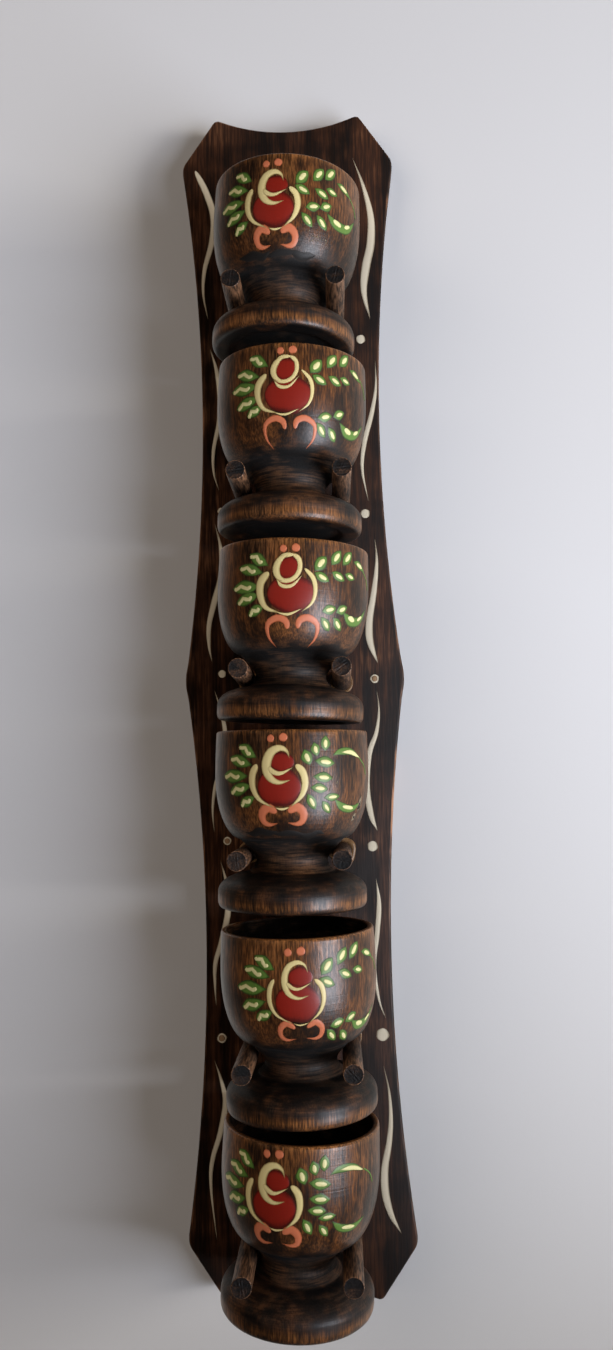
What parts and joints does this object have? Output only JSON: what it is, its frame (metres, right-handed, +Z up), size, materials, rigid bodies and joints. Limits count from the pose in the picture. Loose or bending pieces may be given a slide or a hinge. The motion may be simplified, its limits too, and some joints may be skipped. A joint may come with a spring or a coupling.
{
  "type": "egg cup rack",
  "caption": "Tall scalloped wooden wall board with pairs of dowel pegs that carry turned, hand-painted egg cups by their waists.",
  "frame": {"origin": "centre of the board's back face, which lies on the wall", "axes": "+Z up along the board, +Y into the wall, the painted front faces -Y, +X to the viewer's right"},
  "size_m": [0.075, 0.0588, 0.4056],
  "materials": {
    "board_wood": "dark walnut stain under satin lacquer, fine straight grain along the board",
    "cup_wood": "turned hardwood, walnut stain under satin lacquer, worn to golden brown on the edges",
    "peg_wood": "dowel, walnut stain, rough sawn end grain",
    "plate_brass": "stamped brass plate, dull",
    "nail_steel": "plain steel panel pin",
    "paint_cream": "hand-painted cream paint film, satin",
    "paint_red": "hand-painted dark red paint film, satin",
    "paint_salmon": "hand-painted salmon paint film, satin",
    "paint_green": "hand-painted leaf green paint film, satin",
    "paint_light_green": "hand-painted pale yellow-green highlight, satin",
    "glue": "dried wood glue squeezed out round the pegs"
  },
  "bodies": {
    "rack": {"back_board": "board_wood", "hanger_plate": "plate_brass", "hanger_nail_left": "nail_steel", "hanger_nail_right": "nail_steel", "peg_1_left": "peg_wood", "peg_1_right": "peg_wood", "peg_2_left": "peg_wood", "peg_2_right": "peg_wood", "peg_3_left": "peg_wood", "peg_3_right": "peg_wood", "peg_4_left": "peg_wood", "peg_4_right": "peg_wood", "peg_5_left": "peg_wood", "peg_5_right": "peg_wood", "peg_6_left": "peg_wood", "peg_6_right": "peg_wood"},
    "cup_1": {"egg_cup_1": "cup_wood"},
    "cup_2": {"egg_cup_2": "cup_wood"},
    "cup_3": {"egg_cup_3": "cup_wood"},
    "cup_4": {"egg_cup_4": "cup_wood"},
    "cup_5": {"egg_cup_5": "cup_wood"},
    "cup_6": {"egg_cup_6": "cup_wood"}
  },
  "joints": [
    {"name": "cup_1_slide", "type": "slide", "parent": "rack", "child": "cup_1", "axis": [0, -0.9993, 0.0384], "range_m": [0, 0.05]},
    {"name": "cup_2_slide", "type": "slide", "parent": "rack", "child": "cup_2", "axis": [0, -0.9993, 0.0384], "range_m": [0, 0.05]},
    {"name": "cup_3_slide", "type": "slide", "parent": "rack", "child": "cup_3", "axis": [0, -0.9993, 0.0384], "range_m": [0, 0.05]},
    {"name": "cup_4_slide", "type": "slide", "parent": "rack", "child": "cup_4", "axis": [0, -0.9993, 0.0384], "range_m": [0, 0.05]},
    {"name": "cup_5_slide", "type": "slide", "parent": "rack", "child": "cup_5", "axis": [0, -0.9993, 0.0384], "range_m": [0, 0.05]},
    {"name": "cup_6_slide", "type": "slide", "parent": "rack", "child": "cup_6", "axis": [0, -0.9993, 0.0384], "range_m": [0, 0.05]}
  ]
}
